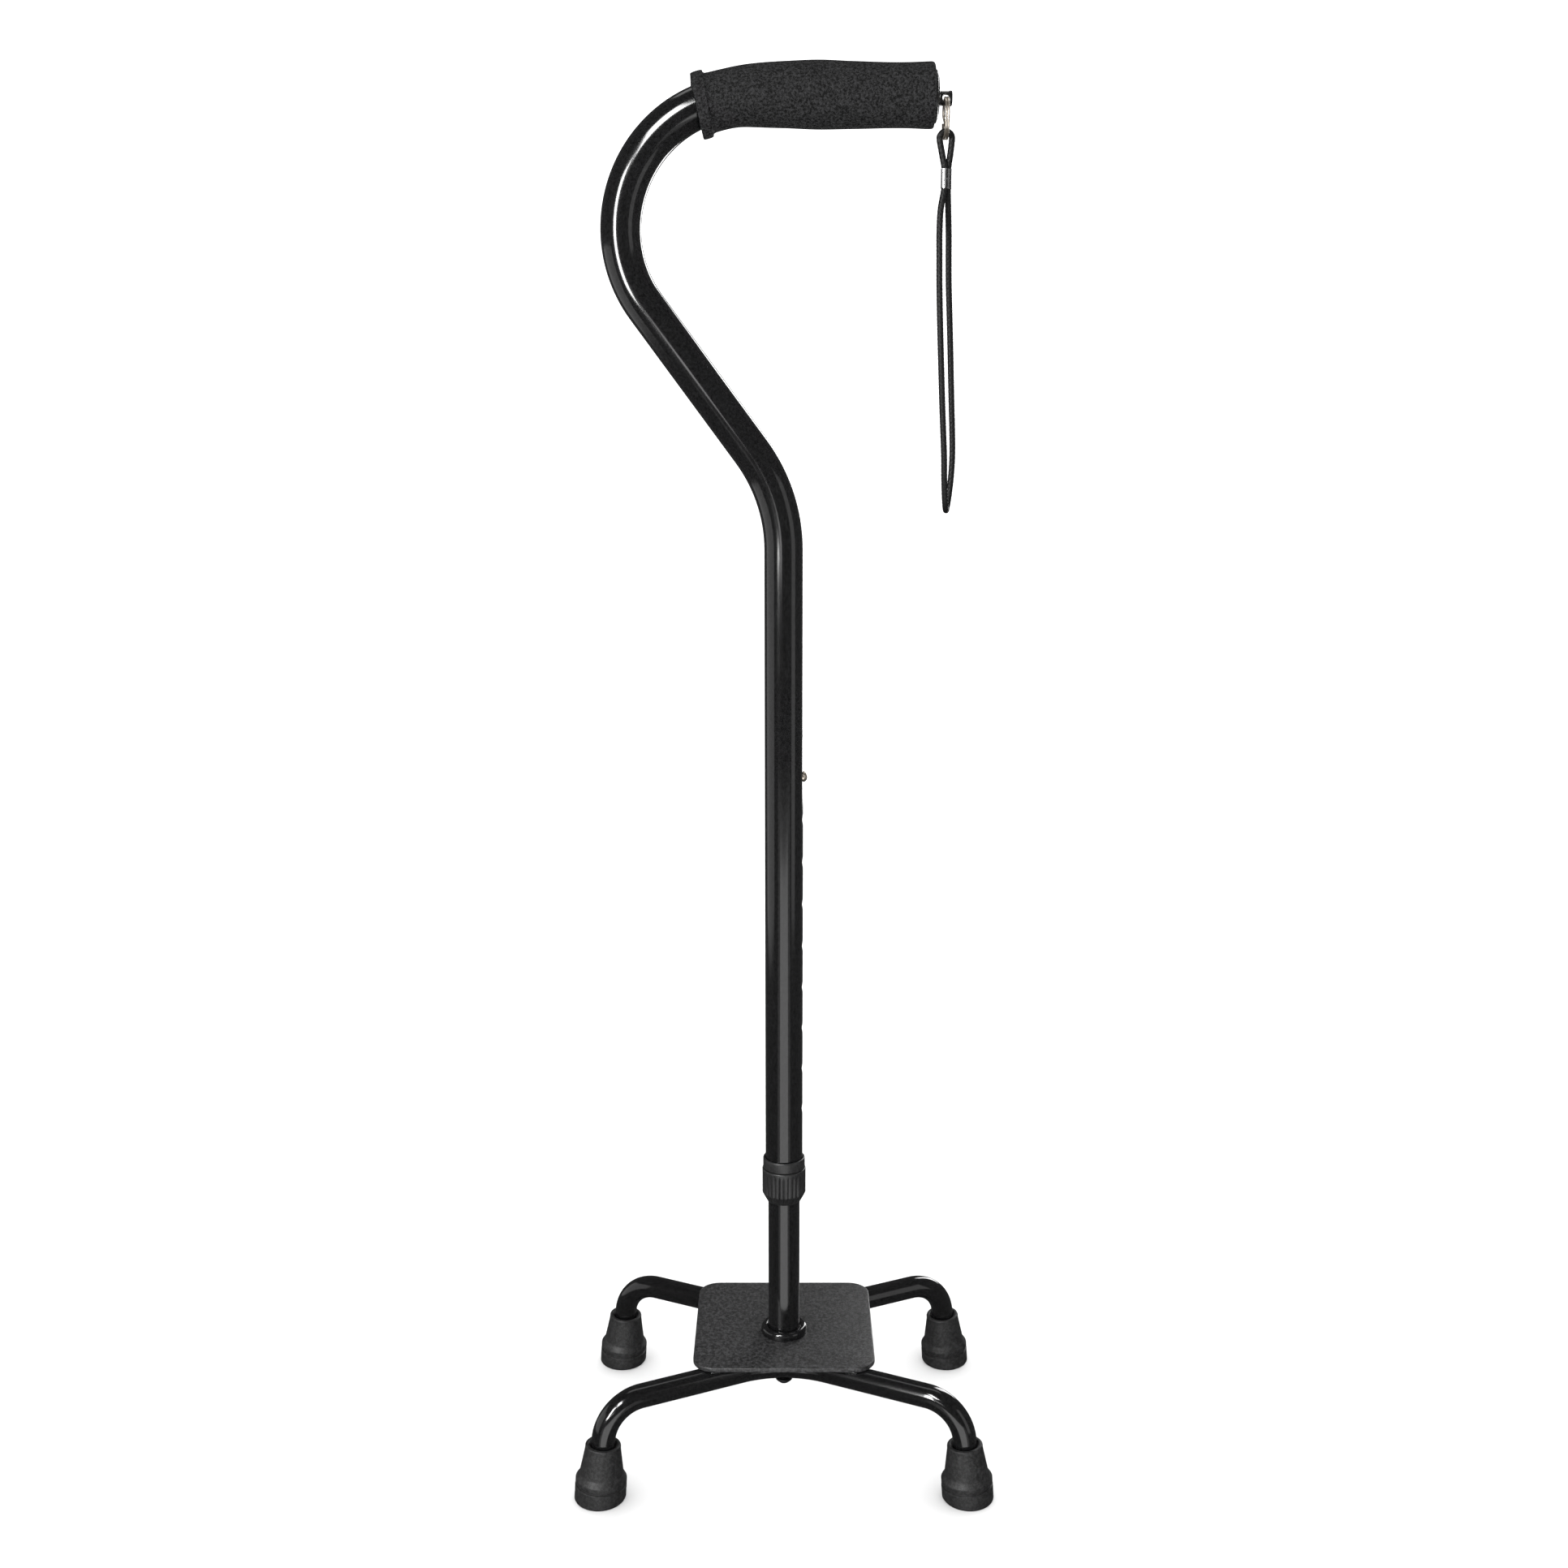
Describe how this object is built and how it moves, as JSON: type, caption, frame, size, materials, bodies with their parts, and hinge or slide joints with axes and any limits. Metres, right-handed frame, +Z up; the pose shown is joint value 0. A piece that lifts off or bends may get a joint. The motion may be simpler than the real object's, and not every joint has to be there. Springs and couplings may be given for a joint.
{
  "type": "quad walking cane",
  "caption": "Height-adjustable walking cane with an offset foam-grip handle, a corded wrist strap and a low four-footed base with rubber tips.",
  "frame": {"origin": "on the floor, midway between the four feet", "axes": "+Z up; +X to the side the grip's end points to, away from the handle's bow; +Y across the grip, from the stem's near side to the base's deeper side"},
  "size_m": [0.2462, 0.1842, 0.8055],
  "materials": {
    "black_tube": "gloss black powder coat",
    "black_foam": "matte closed-cell foam",
    "gloss_black_plastic": "gloss moulded",
    "nickel": "polished nickel plate",
    "braided_nylon": "braided nylon cord",
    "chrome": "polished chrome",
    "black_plastic": "satin moulded",
    "spring_steel": "spring steel strip",
    "satin_black_plate": "satin fine-grain powder coat",
    "black_rubber": "moulded rubber",
    "zinc_steel": "zinc-plated",
    "black_bolt": "black oxide"
  },
  "bodies": {
    "base": {"stem_tube": "black_tube", "button_spring": "spring_steel", "stem_plug": "black_plastic", "stem_ring": "black_tube", "base_plate": "satin_black_plate", "front_leg_tube": "black_tube", "rear_leg_tube": "black_tube", "tip_front_left": "black_rubber", "tip_front_right": "black_rubber", "tip_rear_left": "black_rubber", "tip_rear_right": "black_rubber", "tip_washers": "zinc_steel", "leg_bolts": "black_bolt"},
    "handle": {"handle_tube": "black_tube", "foam_grip": "black_foam", "end_plug": "gloss_black_plastic", "tube_bushing": "black_plastic"},
    "button": {"snap_button": "nickel"},
    "lock_nut": {"lock_nut": "black_plastic"},
    "ring": {"split_ring": "nickel"},
    "strap": {"strap_cord": "braided_nylon", "strap_ferrule": "chrome"}
  },
  "joints": [
    {"name": "height_adjust", "type": "slide", "parent": "base", "child": "handle", "axis": [0, 0, 1], "range_m": [-0.0254, 0.2032], "deforming": ["snap_button"]},
    {"name": "button_press", "type": "slide", "parent": "base", "child": "button", "axis": [-1, 0, 0], "range_m": [0, 0.0042], "stiffness_N_per_m": 1200, "springref_m": -0.001, "deforming": ["button_spring"]},
    {"name": "nut_turn", "type": "hinge", "parent": "handle", "child": "lock_nut", "pos_m": [0, -0.008, 0.166], "axis": [0, 0, 1], "range_deg": [-360, 0]},
    {"name": "ring_swing", "type": "hinge", "parent": "handle", "child": "ring", "pos_m": [0.08655, -0.008, 0.78722], "axis": [0, -1, 0], "range_deg": [-5, 95]},
    {"name": "strap_swing", "type": "hinge", "parent": "ring", "child": "strap", "pos_m": [0.08655, -0.008, 0.76712], "axis": [0, -1, 0], "range_deg": [-15, 60]}
  ]
}
